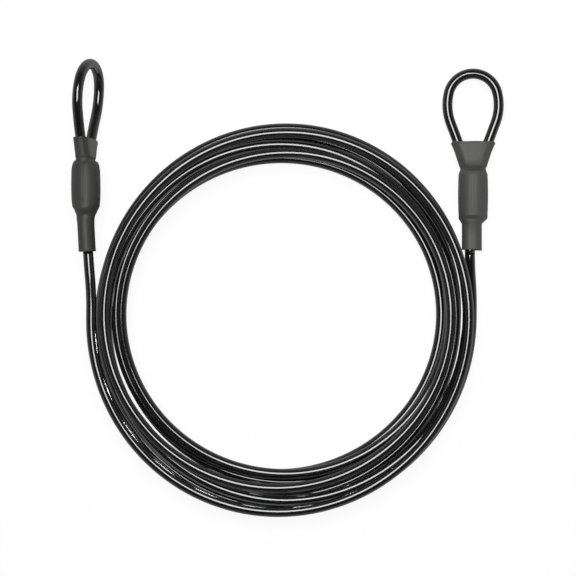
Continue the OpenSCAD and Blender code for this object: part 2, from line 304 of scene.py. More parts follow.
class SleeveSizes(bpy.types.PropertyGroup):
    """Sizes of the ferrules and of the heat-shrink sleeves over them"""

    ferrule_len: FloatProperty(
        name="Ferrule length",
        description="Length of the pressed ferrule",
        default=22 * MM,
        unit="LENGTH",
    )
    ferrule_wall: FloatProperty(
        name="Ferrule wall",
        description="Wall of the ferrule beside the cable",
        default=1.25 * MM,
        unit="LENGTH",
    )
    ferrule_t: FloatProperty(
        name="Ferrule thickness",
        description="Thickness of the pressed ferrule",
        default=11.8 * MM,
        unit="LENGTH",
    )
    sleeve_len: FloatProperty(
        name="Sleeve length",
        description="Length of a heat-shrink sleeve",
        default=55 * MM,
        unit="LENGTH",
    )
    sleeve_wall: FloatProperty(
        name="Sleeve wall",
        description="Wall over the ferrule",
        default=0.8 * MM,
        unit="LENGTH",
    )
    tail_wall: FloatProperty(
        name="Tail wall",
        description="Wall at the tail",
        default=0.6 * MM,
        unit="LENGTH",
    )
    flare_wall: FloatProperty(
        name="Flare wall",
        description="Wall where the sleeve is stretched over the eye's legs",
        default=0.4 * MM,
        unit="LENGTH",
    )
    left_reach: FloatProperty(
        name="Left reach",
        description="How far the left sleeve reaches past its ferrule",
        default=12 * MM,
        unit="LENGTH",
    )
    right_reach: FloatProperty(
        name="Right reach",
        description="How far the right sleeve reaches past its ferrule",
        default=15.5 * MM,
        unit="LENGTH",
    )
    tail_w: FloatProperty(
        name="Tail width",
        description="Width of a sleeve's tail",
        default=9.8 * MM,
        unit="LENGTH",
    )
    tail_t: FloatProperty(
        name="Tail thickness",
        description="Thickness of a sleeve's tail",
        default=8.1 * MM,
        unit="LENGTH",
    )
    film_lift: FloatProperty(
        name="Film lift",
        description="How far the stretched film stands off the legs above and below",
        default=0.7 * MM,
        unit="LENGTH",
    )
    fullness: FloatProperty(
        name="Fullness",
        description="How much fuller the stretched film is between the legs",
        default=1.35 * MM,
        unit="LENGTH",
    )
    lip: FloatProperty(
        name="Lip",
        description="How far the rolled lip of the flare stands proud",
        default=0.14 * MM,
        unit="LENGTH",
    )
    pleat: FloatProperty(
        name="Pleats",
        description="Depth of the small pleats on the shoulder",
        default=0.16 * MM,
        unit="LENGTH",
    )
    ridge: FloatProperty(
        name="Die ridges",
        description="Height of the ferrule's die ridges as they show through the sleeve",
        default=0.2 * MM,
        unit="LENGTH",
    )


class Finishes(bpy.types.PropertyGroup):
    """Colours and surface of the materials"""

    vinyl_colour: FloatVectorProperty(
        name="Vinyl",
        description="Colour of the cable's jacket",
        subtype="COLOR",
        size=3,
        default=(0.0048, 0.0047, 0.0046),
        min=0,
        max=1,
    )
    sleeve_colour: FloatVectorProperty(
        name="Sleeve",
        description="Colour of the heat-shrink sleeves",
        subtype="COLOR",
        size=3,
        default=(0.060, 0.059, 0.0575),
        min=0,
        max=1,
    )
    steel_colour: FloatVectorProperty(
        name="Steel",
        description="Colour of the wire rope",
        subtype="COLOR",
        size=3,
        default=(0.56, 0.57, 0.58),
        min=0,
        max=1,
    )
    aluminium_colour: FloatVectorProperty(
        name="Aluminium",
        description="Colour of the ferrules",
        subtype="COLOR",
        size=3,
        default=(0.73, 0.74, 0.75),
        min=0,
        max=1,
    )
    lay_len: FloatProperty(
        name="Lay length",
        description="Length in which a strand of the rope goes once round",
        default=26 * MM,
        unit="LENGTH",
    )
    lay_depth: FloatProperty(
        name="Lay depth",
        description="Depth of the strands as they show through the jacket",
        default=0.003 * MM,
        unit="LENGTH",
    )


class StageSettings(bpy.types.PropertyGroup):
    """Camera, floor and light"""

    camera_height: FloatProperty(
        name="Camera height",
        description="Height of the camera above the floor",
        default=0.86,
        unit="LENGTH",
    )
    picture_width: FloatProperty(
        name="Picture width",
        description="Width of what the camera sees at the height of the coil",
        default=0.28224,
        unit="LENGTH",
    )
    key_power: FloatProperty(
        name="Key light", description="Power of the softbox in watts", default=11.8
    )
    floor_colour: FloatVectorProperty(
        name="Floor",
        description="Colour of the floor",
        subtype="COLOR",
        size=3,
        default=(0.62, 0.62, 0.62),
        min=0,
        max=1,
    )


def sizes():
    return bpy.context.scene.cable_sizes


def sleeve_sizes():
    return bpy.context.scene.cable_sleeve_sizes


def finishes():
    return bpy.context.scene.cable_finishes


def stage_settings():
    return bpy.context.scene.cable_stage_settings


# ---- route of the cable ----


def ease(t):
    t = min(1.0, max(0.0, t))
    return t * t * (3 - 2 * t)


def spiral_phase(share):
    """Half a turn of phase from each reversal of the spiral to the next"""
    marks = (0.0, *REVERSALS, 1.0)
    for i in range(LAYERS):
        if share <= marks[i + 1] or i == LAYERS - 1:
            return math.pi * (i + (share - marks[i]) / (marks[i + 1] - marks[i]))


def coil_point(u):
    """A point of the coil's centre line, u turns from its top end"""
    s = sizes()
    angle = math.pi + TURN * u
    wave = math.asin(TIP * math.cos(spiral_phase(u / s.coil_turns))) / math.asin(TIP)
    middle = (
        s.coil_r
        + s.coil_shift * math.cos(angle - SHIFT_DIR)
        + s.coil_oval * math.cos(2 * (angle - OVAL_DIR))
    )
    reach = (
        s.band_half
        + s.band_swell * math.cos(angle - SWELL_DIR)
        - s.band_waist * math.cos(2 * angle)
    )
    sway = s.coil_sway * math.sin(TURN * u / SWAY_TURNS + SWAY_START)
    radius = middle + reach * wave + sway
    down = sum(
        ease((u - share * s.coil_turns) / CLIMB_TURNS + 0.5) for share in REVERSALS
    )
    height = BED_SHARE * s.cable_d + (s.cable_d + s.layer_gap) * (LAYERS - 1 - down)
    return COIL_CENTRE + Vector(
        (radius * math.cos(angle), radius * math.sin(angle), height)
    )


def bend_between(start, start_dir, end, end_dir, rings):
    """Points of a smooth curve that leaves start along start_dir and meets end along end_dir"""
    handle = LEAD_HANDLE * (end - start).length
    a, b, c, d = start, start + handle * start_dir, end - handle * end_dir, end
    out = []
    for i in range(rings + 1):
        t = i / rings
        r = 1 - t
        out.append(a * r**3 + 3 * b * t * r**2 + 3 * c * t * t * r + d * t**3)
    return out


def left_end():
    """Place of the left eye: mirrored, rolled on its side and pitched to touch the floor"""
    return (
        Matrix.Translation(LEFT_MOUTH)
        @ Matrix.Rotation(LEFT_HEADING, 4, "Z")
        @ Matrix.Rotation(LEFT_PITCH, 4, "X")
        @ Matrix.Rotation(LEFT_ROLL, 4, "Y")
        @ Matrix.Diagonal((-1, 1, 1, 1))
    )


def right_end():
    """Place of the right eye, which lies flat"""
    return Matrix.Translation(RIGHT_MOUTH)


def pass_x():
    return (sizes().cable_d + PASS_GAP) / 2


def tail_exit(reach):
    """Where the cable leaves a sleeve's tail, in the eye's own frame"""
    return Vector((TAIL_DRIFT - pass_x(), reach - sleeve_sizes().sleeve_len, 0))


def free_route():
    """Centre line of the free cable, from the left sleeve through the coil to the right sleeve"""
    s, z = sizes(), sleeve_sizes()
    left, right = left_end(), right_end()
    first = coil_point(0) - coil_point(STEP_U)
    last = coil_point(s.coil_turns) - coil_point(s.coil_turns - STEP_U)
    first.normalize()
    last.normalize()
    coil_start = coil_point(0) + s.cable_d * first
    coil_end = coil_point(s.coil_turns) + s.cable_d * last
    left_exit = left @ tail_exit(z.left_reach)
    left_exit.x += tail_lean(left_exit.y)
    left_dir = left.to_3x3() @ Vector((0, -1, 0)) + TAIL_LEAN * Vector((1, 0, 0))
    left_dir.normalize()
    right_exit = right @ tail_exit(z.right_reach)
    right_dir = Vector((0, 1, 0))
    rings = round(s.coil_turns * RINGS_PER_TURN)
    route = bend_between(left_exit, left_dir, coil_start, -first, LEAD_RINGS)
    route += [coil_point(i / RINGS_PER_TURN) for i in range(rings + 1)]
    route += bend_between(coil_end, last, right_exit, right_dir, LEAD_RINGS)
    return route, left_dir, right_dir


def heading(angle):
    return Vector((-math.sin(angle), math.cos(angle), 0))


def eye_route(reach, bow):
    """Centre line, in the eye's own frame: through the ferrule, round the eye, to the cut end"""
    s, z = sizes(), sleeve_sizes()
    bend = math.acos(1 - TAIL_DRIFT / (2 * TAIL_BEND_R))
    tail = z.sleeve_len - reach - z.ferrule_len - 2 * TAIL_BEND_R * math.sin(bend)
    limb = (s.eye_w - s.cable_d) / 2
    crown_r = limb - CROWN_EASE
    past = math.acos((SIDE_R - limb) / (SIDE_R - crown_r))
    leg = (
        limb - pass_x() - (MOUTH_BEND_R + SIDE_R) * (1 - math.cos(LEG_ANGLE))
    ) / math.sin(LEG_ANGLE)
    steps = [
        (tail, 0),
        (TAIL_BEND_R, bend),
        (TAIL_BEND_R, -bend),
        (z.ferrule_len, 0),
        (MOUTH_BEND_R, LEG_ANGLE),
        (leg, 0),
        (SIDE_R, -(LEG_ANGLE + past)),
        (crown_r, -(math.pi - 2 * past)),
        (SIDE_R, -(LEG_ANGLE + past)),
        (leg, 0),
        (MOUTH_BEND_R, LEG_ANGLE),
        (z.ferrule_len + STUB_LEN, 0),
    ]
    point, angle = tail_exit(reach), 0.0
    points, directions = [point], [heading(angle)]
    for size, turn in steps:
        if turn == 0:
            count = max(1, math.ceil(size / EYE_RUN_STEP))
            for k in range(count):
                point = point + heading(angle) * size / count
                points.append(point)
                directions.append(heading(angle))
            continue
        side = math.copysign(1, turn)
        count = max(1, math.ceil(abs(turn) / EYE_TURN_STEP))
        centre = point + side * size * heading(angle + math.pi / 2)
        start = angle
        for k in range(1, count + 1):
            angle = start + turn * k / count
            point = centre - side * size * heading(angle + math.pi / 2)
            points.append(point)
            directions.append(heading(angle))
    for i, (point, along) in enumerate(zip(points, directions)):
        share = max(0.0, point.y - BOW_START) / BOW_SPAN
        rise = 2 * bow / BOW_SPAN * share * along.y
        points[i] = point + bow * share**2 * UP
        directions[i] = (along + rise * UP).normalized()
    return points, directions


# ---- meshes ----


def ring_place(point, direction):
    """Frame of a ring of the jacket: its Z runs along the cable and its X lies level"""
    across = direction.cross(UP).normalized()
    over = across.cross(direction).normalized()
    frame_rows = Matrix((across, over, direction)).transposed().to_4x4()
    return Matrix.Translation(point) @ frame_rows


def mark_length(bm, run, share):
    """UV map of a tube: U is the length along it in metres, V the share of the way round"""
    layer = bm.loops.layers.uv.new("Length")
    for face in bm.faces:
        shares = [loop.vert[share] for loop in face.loops]
        wraps = max(shares) - min(shares) > 0.5
        for loop in face.loops:
            around = loop.vert[share]
            if wraps and around < 0.5:
                around += 1
            loop[layer].uv = (loop.vert[run], around)


def new_ring(bm, edges):
    """Extrudes an open end of a tube and returns the new ring's edges and vertices"""
    grown = bmesh.ops.extrude_edge_only(bm, edges=edges)["geom"]
    verts = [g for g in grown if isinstance(g, bmesh.types.BMVert)]
    fresh = set(verts)
    rim = [
        g
        for g in grown
        if isinstance(g, bmesh.types.BMEdge)
        and g.verts[0] in fresh
        and g.verts[1] in fresh
    ]
    return rim, verts


def jacket_tube(points, directions, radius, sides, floor=None):
    """bmesh of a jacket along a route, closed at both ends"""
    bm = bmesh.new()
    run = bm.verts.layers.float.new("run")
    share = bm.verts.layers.float.new("share")
    verts = bmesh.ops.create_circle(bm, segments=sides, radius=radius)["verts"]
    for k, v in enumerate(verts):
        v[share] = k / sides
    first_rim = rim = list(bm.edges)
    place = ring_place(points[0], directions[0])
    bmesh.ops.transform(bm, matrix=place, verts=verts)
    length = 0.0
    for i in range(1, len(points)):
        rim, verts = new_ring(bm, rim)
        following = ring_place(points[i], directions[i])
        bmesh.ops.transform(bm, matrix=following @ place.inverted(), verts=verts)
        place = following
        length += (points[i] - points[i - 1]).length
        for v in verts:
            v[run] = length
    if floor is not None:
        for v in bm.verts:
            v.co.z = max(v.co.z, floor)
    bmesh.ops.holes_fill(bm, edges=first_rim, sides=sides)
    bmesh.ops.holes_fill(bm, edges=rim, sides=sides)
    mark_length(bm, run, share)
    return bm


def show(bm, name, material, slot, *nodes):
    """Turns a bmesh into a piece that rides on the cable and stands for its CAD nodes"""
    bmesh.ops.recalc_face_normals(bm, faces=bm.faces)
    mesh = bpy.data.meshes.new(name)
    bm.to_mesh(mesh)
    bm.free()
    for face in mesh.polygons:
        face.use_smooth = len(face.vertices) <= 4
    piece = bpy.data.objects.new(name, mesh)
    bpy.context.scene.collection.objects.link(piece)
    mesh.materials.append(material)
    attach(piece, "root")
    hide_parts(*nodes)
    return piece


# ---- sleeves ----


def leg_reach(y):
    """Half the width over the eye's legs, y past the ferrule's mouth"""
    bend_y = MOUTH_BEND_R * math.sin(LEG_ANGLE)
    bend_x = MOUTH_BEND_R * (1 - math.cos(LEG_ANGLE))
    radius = sizes().cable_d / 2
    return (
        pass_x()
        + bend_x
        + (y - bend_y) * math.tan(LEG_ANGLE)
        + radius / math.cos(LEG_ANGLE)
    )


def sleeve_stations(reach):
    """Inside of a sleeve, by distance past the ferrule's mouth

    Each station has its half width, half thickness, offset and wall, and whether the form eases
    from it to the next.
    """
    s, z = sizes(), sleeve_sizes()
    w = pass_x() + s.cable_d / 2 + z.ferrule_wall + SLEEVE_GAP
    t = z.ferrule_t / 2 + SLEEVE_GAP
    film = s.cable_d / 2 + SLEEVE_GAP + z.film_lift
    tail_a = z.tail_w / 2 - z.tail_wall
    tail_b = z.tail_t / 2 - z.tail_wall
    wall, length = z.sleeve_wall, z.ferrule_len
    half_wall = (z.sleeve_wall + z.flare_wall) / 2
    return [
        (reach, leg_reach(reach) + SLEEVE_GAP, film, 0, z.flare_wall, False),
        (WAIST_Y, leg_reach(WAIST_Y) + WAIST_SLACK, film, 0, half_wall, True),
        (-FERRULE_CHAMFER, w, t, 0, wall, True),
        (-length / 2, w + SLEEVE_BELLY, t + SLEEVE_BELLY, 0, wall, True),
        (FERRULE_CHAMFER - length, w, t, 0, wall, False),
        (-length, w, t, 0, wall, True),
        (-length - SHOULDER, tail_a, tail_b, -TAIL_OFFSET, z.tail_wall, False),
        (reach - z.sleeve_len, tail_a, tail_b, -TAIL_OFFSET, z.tail_wall, False),
    ]


def sleeve_section(stations, y):
    """Half width, half thickness, offset and wall of a sleeve at y"""
    for a, b in zip(stations, stations[1:]):
        if y >= b[0] or b is stations[-1]:
            f = (a[0] - y) / (a[0] - b[0])
            e = ease(f) if a[5] else f
            section = [a[j] + (b[j] - a[j]) * e for j in range(1, 5)]
            break
    # over and under the ferrule the film drops to the tail sooner than at its sides
    end, tail = stations[4], stations[-1]
    if tail[0] < y < end[0]:
        down = end[0] - y
        drop = STEEP_SHARE * ease(down / STEEP_DROP)
        drop += (1 - STEEP_SHARE) * ease(down / SLOW_DROP)
        section[1] = end[2] + (tail[2] - end[2]) * drop
    return section


def on_section(section, out, share):
    """Point on a sleeve's round-ended section, out of its inside by out"""
    half_w, half_t, offset = section[:3]
    a, b = half_w + out, half_t + out
    angle = TURN * share
    # even spacing by angle, with the two round ends pushed apart by the flat between them
    side = math.tanh(SIDE_PUSH * math.cos(angle))
    return Vector((offset + side * (a - b) + b * math.cos(angle), 0, b * math.sin(angle)))


def flatness(share):
    """1 on the flat film between the legs, 0 round the legs"""
    return 1 - ease((abs(math.cos(TURN * share)) - FLAT_FROM) / FLAT_OVER)


def bump_at(value, centre, width):
    """1 at the centre, fading to 0 on both sides of it"""
    return math.exp(-(((value - centre) / width) ** 2))


def sleeve_detail(y, share, reach, shrunk):
    """How far the skin of a sleeve stands out of its plain form at a point"""
    z = sleeve_sizes()
    angle = TURN * share
    flat = flatness(share)
    end = -z.ferrule_len
    # the rolled lip of the flare, and of the tail
    out = z.lip * bump_at(y, reach - LIP_IN, LIP_WIDTH)
    tail_lip = bump_at(y, reach - z.sleeve_len + TAIL_LIP_IN, TAIL_LIP_WIDTH)
    out += TAIL_LIP_SHARE * z.lip * tail_lip
    # the stretched film is fuller between the legs, and dives to a crease at the ferrule
    if y > WAIST_Y:
        dive = max(0.0, 1 - (y - WAIST_Y) / DIVE_LEN)
        out += z.fullness * shrunk["fuller"] * flat * (1 - dive**2)
    out -= LEG_CREASE * (1 - flat) * bump_at(y, CREASE_Y, LEG_CREASE_WIDTH)
    out -= FLAT_CREASE * flat * bump_at(y, CREASE_Y, FLAT_CREASE_WIDTH)
    out += FLAT_SWELL * flat * bump_at(y, SWELL_Y, SWELL_WIDTH)
    # thinner over the ferrule's ends, so that its middle bellies out
    over = ease((END_RUN - y) / END_RUN) * ease((y - end + END_RUN) / END_RUN)
    bare = ease(-y / THIN_RUN) * ease((y - end) / FULL_RUN)
    out -= shrunk["thin_ends"] * over * (1 - bare)
    out -= shrunk["tail_thin"] * ease((end - y) / TAIL_THIN_RUN)
    # pleats, aslant on the shoulder
    side = sum(deep * bump_at(share, place, width) for place, width, deep in PLEATS)
    slant = TURN * (y / PLEAT_STEP - PLEAT_SLANT * share)
    shoulder = bump_at(y, end - SHOULDER_Y, SHOULDER_WIDTH)
    out += z.pleat * shrunk["pleats"] * shoulder * side * math.cos(slant)
    neck = bump_at(y, NECK_Y, NECK_WIDTH)
    out += NECK_SHARE * z.pleat * neck * (1 - flat) * math.cos(NECK_PLEATS * angle + 1.0)
    # the die's ridges on the ferrule
    on_ferrule = ease((-RIDGE_IN - y) / RIDGE_RISE) * ease((y - end - RIDGE_END) / END_RUN)
    wander = sum(far * math.sin(y / wave + start) for far, wave, start in RIDGE_WANDER)
    for place, height in shrunk["ridges"]:
        ridge = bump_at(share + wander, place, RIDGE_WIDTH)
        out += z.ridge * height * on_ferrule * ridge
    return out


def mouth_shift(share, shrunk):
    """How far a sleeve's mouth is drawn back from its plane, at the flare and at the tail"""
    angle = TURN * share
    flare = SIDE_DIP[0] * shrunk["dip"] * abs(math.cos(angle)) ** SIDE_DIP[1]
    flare += FACE_DIP[0] * shrunk["dip"] * abs(math.sin(angle)) ** FACE_DIP[1]
    flare += sum(high * math.sin(waves * angle + start) for high, waves, start in MOUTH_RIPPLE)
    flare += shrunk["slant"] * ease((SLANT_FROM - 0.5 * math.cos(angle)) / SLANT_OVER)
    back, top, left = shrunk["tail_cut"]
    tail = back + top * (0.5 + 0.5 * math.sin(angle)) - left * math.cos(angle)
    tail += TAIL_RIPPLE[0] * math.sin(TAIL_RIPPLE[1] * angle)
    return flare, max(0.0, tail)


def tail_lean(y):
    """How far the left tail, and the cable in it, lean aside at y in the part's frame"""
    past = LEFT_MOUTH.y - sleeve_sizes().ferrule_len - y
    set_off = ease(past / LEAN_RUN)
    return TAIL_SHIFT * set_off + TAIL_LEAN * max(0.0, past - LEAN_RUN) * set_off


def film_tone_and_painted_light(y, share, shrunk):
    """Tone of the film at a point: it pales where stretched, partly a painted reflection, with
    painted shade on a leg and in its crease
    """
    stretched = ease((y - WAIST_Y) / STRETCH_RUN)
    # pallor where the film is stretched: partly its own, partly a painted reflection of the floor
    pallor_painted_light_and_shade = shrunk["stretch"] * flatness(share - PALLOR_AND_LIGHT_SHIFT)
    # painted shade: a darker band on the round of one leg
    pallor_painted_light_and_shade -= PAINTED_SHADE_DEPTH * bump_at(share, PAINTED_SHADE_PLACE, PAINTED_SHADE_WIDTH)
    # painted shade in the crease at the ferrule
    crease = PAINTED_CREASE_SHADE * flatness(share) * bump_at(y, CREASE_Y, PAINTED_CREASE_WIDTH)
    return shrunk["tone"] + pallor_painted_light_and_shade * stretched - crease


def shrink_sleeve(reach, shrunk):
    """bmesh of a heat-shrink sleeve in the eye's own frame: inside, flare, outside, tail"""
    z = sleeve_sizes()
    stations = sleeve_stations(reach)
    tail = reach - z.sleeve_len
    count = round(z.sleeve_len / SLEEVE_STEP)
    bm = bmesh.new()
    run = bm.verts.layers.float.new("run")
    share = bm.verts.layers.float.new("share")
    tone = bm.verts.layers.float.new("tone")
    circle = bmesh.ops.create_circle(bm, segments=SLEEVE_SIDES, radius=z.tail_w / 2)
    verts = circle["verts"]
    for k, v in enumerate(verts):
        v[share] = k / SLEEVE_SIDES
    first_rim = rim = list(bm.edges)
    walls = [(tail + z.sleeve_len * i / count, 0.0) for i in range(0, count + 1, 2)]
    walls.append((reach, 0.5))
    walls += [(reach - z.sleeve_len * i / count, 1.0) for i in range(count + 1)]
    walls.append((tail, 0.5))
    for i, (y, depth) in enumerate(walls):
        if i:
            rim, verts = new_ring(bm, rim)
        section = sleeve_section(stations, y)
        near_flare = ease(1 - (reach - y) / FLARE_RUN)
        near_tail = ease(1 - (y - tail) / TAIL_RUN)
        for v in verts:
            flare_back, tail_back = mouth_shift(v[share], shrunk)
            out = depth * (section[3] + sleeve_detail(y, v[share], reach, shrunk))
            v.co = on_section(section, out, v[share])
            v.co.y = y - flare_back * near_flare + tail_back * near_tail
            v[run] = y
            # the tone attribute carries painted light and shade into the film's colour
            v[tone] = film_tone_and_painted_light(y, v[share], shrunk)
    bmesh.ops.bridge_loops(bm, edges=first_rim + rim)
    mark_length(bm, run, share)
    return bm


# ---- materials ----


def add_node(tree, kind, **values):
    """Adds a node and sets its properties, or the inputs that go by a socket's name"""
    node = tree.nodes.new(kind)
    for key, value in values.items():
        if hasattr(node, key):
            setattr(node, key, value)
        else:
            node.inputs[key.replace("_", " ")].default_value = value
    return node


def join(tree, source, output, target, socket):
    tree.links.new(source.outputs[output], target.inputs[socket])


def smooth_range(tree, low, high, at_low=0.0, at_high=1.0):
    """A node that eases from one value to another as its input goes from low to high"""
    return add_node(
        tree,
        "ShaderNodeMapRange",
        interpolation_type="SMOOTHSTEP",
        From_Min=low,
        From_Max=high,
        To_Min=at_low,
        To_Max=at_high,
    )


def group_tree(name, inputs, outputs):
    """An empty node group with named sockets"""
    tree = bpy.data.node_groups.new(name, "ShaderNodeTree")
    for title, kind, default in inputs:
        socket = tree.interface.new_socket(title, in_out="INPUT", socket_type=kind)
        if default is not None:
            socket.default_value = default
    for title, kind in outputs:
        tree.interface.new_socket(title, in_out="OUTPUT", socket_type=kind)
    return tree, tree.nodes.new("NodeGroupInput"), tree.nodes.new("NodeGroupOutput")


def strand_lay():
    """Height of the rope's strands under the jacket, wound along the cable"""
    tree, given, result = group_tree(
        "Strand lay",
        [
            ("Length Map", "NodeSocketVector", None),
            ("Lay Length", "NodeSocketFloat", 0.026),
            ("Strands", "NodeSocketFloat", 6.0),
        ],
        [("Height", "NodeSocketFloat")],
    )
    split = add_node(tree, "ShaderNodeSeparateXYZ")
    turns = add_node(tree, "ShaderNodeMath", operation="DIVIDE")
    wound = add_node(tree, "ShaderNodeMath", operation="SUBTRACT")
    strands = add_node(tree, "ShaderNodeMath", operation="MULTIPLY")
    phase = add_node(tree, "ShaderNodeMath", operation="MULTIPLY")
    phase.inputs[1].default_value = TURN
    wave = add_node(tree, "ShaderNodeMath", operation="COSINE")
    lift = add_node(tree, "ShaderNodeMath", operation="MULTIPLY_ADD")
    lift.inputs[1].default_value = 0.5
    lift.inputs[2].default_value = 0.5
    join(tree, given, "Length Map", split, 0)
    join(tree, split, "X", turns, 0)
    join(tree, given, "Lay Length", turns, 1)
    join(tree, split, "Y", wound, 0)
    join(tree, turns, 0, wound, 1)
    join(tree, wound, 0, strands, 0)
    join(tree, given, "Strands", strands, 1)
    join(tree, strands, 0, phase, 0)
    join(tree, phase, 0, wave, 0)
    join(tree, wave, 0, lift, 0)
    join(tree, lift, 0, result, "Height")
    return tree


def handling_marks():
    """Soft patches and fine scuffs left by handling"""
    tree, given, result = group_tree(
        "Handling marks",
        [
            ("Place", "NodeSocketVector", None),
            ("Patch Scale", "NodeSocketFloat", 60.0),
            ("Scuff Scale", "NodeSocketFloat", 900.0),
        ],
        [("Patches", "NodeSocketFloat"), ("Scuffs", "NodeSocketFloat")],
    )
    patches = add_node(tree, "ShaderNodeTexNoise", Detail=3.0, Roughness=0.55)
    scuffs = add_node(tree, "ShaderNodeTexNoise", Detail=2.0, Roughness=0.7)
    sharp = smooth_range(tree, 0.6, 0.78)
    join(tree, given, "Place", patches, "Vector")
    join(tree, given, "Patch Scale", patches, "Scale")
    join(tree, given, "Place", scuffs, "Vector")
    join(tree, given, "Scuff Scale", scuffs, "Scale")
    join(tree, scuffs, "Fac", sharp, "Value")
    join(tree, patches, "Fac", result, "Patches")
    join(tree, sharp, "Result", result, "Scuffs")
    return tree


def shared_group(tree, title, build):
    """Places a node group in a material, and builds it the first time"""
    node = tree.nodes.new("ShaderNodeGroup")
    node.node_tree = bpy.data.node_groups.get(title) or build()
    return node


def blank_material(name, colour):
    """A material with a principled shader, and its tree"""
    material = bpy.data.materials.new(name)
    material.use_nodes = True
    material.diffuse_color = (*colour, 1)
    tree = material.node_tree
    return material, tree, tree.nodes["Principled BSDF"]


def tinted(tree, colour, low, high, mask, shader):
    """Base colour that drifts between a darker and a lighter tone of one colour"""
    mix = add_node(tree, "ShaderNodeMix", data_type="RGBA")
    mix.inputs["A"].default_value = (*[c * low for c in colour], 1)
    mix.inputs["B"].default_value = (*[c * high for c in colour], 1)
    tree.links.new(mask, mix.inputs["Factor"])
    join(tree, mix, "Result", shader, "Base Color")
    return mix


def rough_by(tree, mask, low, high, shader):
    """Roughness that follows a mask"""
    spread = add_node(tree, "ShaderNodeMapRange", To_Min=low, To_Max=high)
    tree.links.new(mask, spread.inputs["Value"])
    join(tree, spread, "Result", shader, "Roughness")


def raised(tree, height, strength, distance, shader, below=None):
    """Bump from a height, on top of another bump"""
    bump = add_node(tree, "ShaderNodeBump", Strength=strength, Distance=distance)
    tree.links.new(height, bump.inputs["Height"])
    if below is not None:
        join(tree, below, "Normal", bump, "Normal")
    join(tree, bump, "Normal", shader, "Normal")
    return bump


def vinyl_jacket():
    """Glossy black vinyl with the strands faintly showing, light scuffs and dust"""
    known = bpy.data.materials.get("vinyl_jacket_finish")
    if known:
        return known
    f = finishes()
    material, tree, shader = blank_material("vinyl_jacket_finish", f.vinyl_colour)
    shader.inputs["IOR"].default_value = 1.5
    shader.inputs["Specular IOR Level"].default_value = 0.2
    shader.inputs["Coat Roughness"].default_value = 0.06
    facing = add_node(tree, "ShaderNodeLayerWeight", Blend=0.5)
    rim = smooth_range(tree, 0.42, 0.78, 1.0, 0.0)
    join(tree, facing, "Facing", rim, "Value")
    join(tree, rim, "Result", shader, "Coat Weight")
    place = add_node(tree, "ShaderNodeTexCoord")
    lengths = add_node(tree, "ShaderNodeUVMap", uv_map="Length")
    lay = shared_group(tree, "Strand lay", strand_lay)
    lay.inputs["Lay Length"].default_value = f.lay_len
    marks = shared_group(tree, "Handling marks", handling_marks)
    join(tree, lengths, "UV", lay, "Length Map")
    join(tree, place, "Object", marks, "Place")
    tinted(tree, f.vinyl_colour, 0.75, 1.5, marks.outputs["Patches"], shader)
    rough_by(tree, marks.outputs["Scuffs"], 0.14, 0.3, shader)
    drawn = add_node(tree, "ShaderNodeTexNoise", Detail=2.0, Scale=1.0)
    stretch = add_node(tree, "ShaderNodeMapping", Scale=(40, 2, 1))
    join(tree, lengths, "UV", stretch, "Vector")
    join(tree, stretch, "Vector", drawn, "Vector")
    strands = raised(tree, lay.outputs["Height"], 0.5, f.lay_depth, shader)
    raised(tree, drawn.outputs["Fac"], 0.3, 0.004 * MM, shader, strands)
    return material


def shrink_film():
    """Matt dark grey polyolefin with a fine grain, faint draw lines and painted light and shade
    """
    known = bpy.data.materials.get("shrink_sleeve_finish")
    if known:
        return known
    f = finishes()
    material, tree, shader = blank_material("shrink_sleeve_finish", f.sleeve_colour)
    shader.inputs["IOR"].default_value = 1.48
    place = add_node(tree, "ShaderNodeTexCoord")
    lengths = add_node(tree, "ShaderNodeUVMap", uv_map="Length")
    marks = shared_group(tree, "Handling marks", handling_marks)
    marks.inputs["Patch Scale"].default_value = 180
    marks.inputs["Scuff Scale"].default_value = 1400
    join(tree, place, "Object", marks, "Place")
    mixed = tinted(tree, f.sleeve_colour, 0.9, 1.1, marks.outputs["Patches"], shader)
    # the tone attribute paints shade and light into the base colour: painted shade in the crease,
    # on one leg and over the left sleeve, and a painted reflection on the stretched film
    tone = add_node(tree, "ShaderNodeAttribute", attribute_name="tone")
    shade = add_node(tree, "ShaderNodeMix", data_type="RGBA", blend_type="MULTIPLY")
    shade.inputs["Factor"].default_value = 1.0
    join(tree, mixed, "Result", shade, "A")
    join(tree, tone, "Color", shade, "B")
    join(tree, shade, "Result", shader, "Base Color")
    rough_by(tree, marks.outputs["Scuffs"], 0.56, 0.74, shader)
    lines = add_node(tree, "ShaderNodeTexNoise", Detail=2.0, Scale=1.0)
    stretch = add_node(tree, "ShaderNodeMapping", Scale=(70, 22, 1))
    join(tree, lengths, "UV", stretch, "Vector")
    join(tree, stretch, "Vector", lines, "Vector")
    grain = add_node(
        tree, "ShaderNodeTexNoise", Detail=3.0, Roughness=0.6, Scale=2600
    )
    join(tree, place, "Object", grain, "Vector")
    drawn = raised(tree, lines.outputs["Fac"], 0.5, 0.12 * MM, shader)
    raised(tree, grain.outputs["Fac"], 0.35, 0.03 * MM, shader, drawn)
    return material


def pressed_aluminium():
    """Bare pressed aluminium, satin with die marks"""
    f = finishes()
    material, tree, shader = blank_material("ferrule_finish", f.aluminium_colour)
    shader.inputs["Metallic"].default_value = 1.0
    place = add_node(tree, "ShaderNodeTexCoord")
    marks = shared_group(tree, "Handling marks", handling_marks)
    marks.inputs["Patch Scale"].default_value = 240
    join(tree, place, "Object", marks, "Place")
    tinted(tree, f.aluminium_colour, 0.85, 1.1, marks.outputs["Patches"], shader)
    rough_by(tree, marks.outputs["Patches"], 0.3, 0.5, shader)
    raised(tree, marks.outputs["Scuffs"], 0.3, 0.05 * MM, shader)
    return material


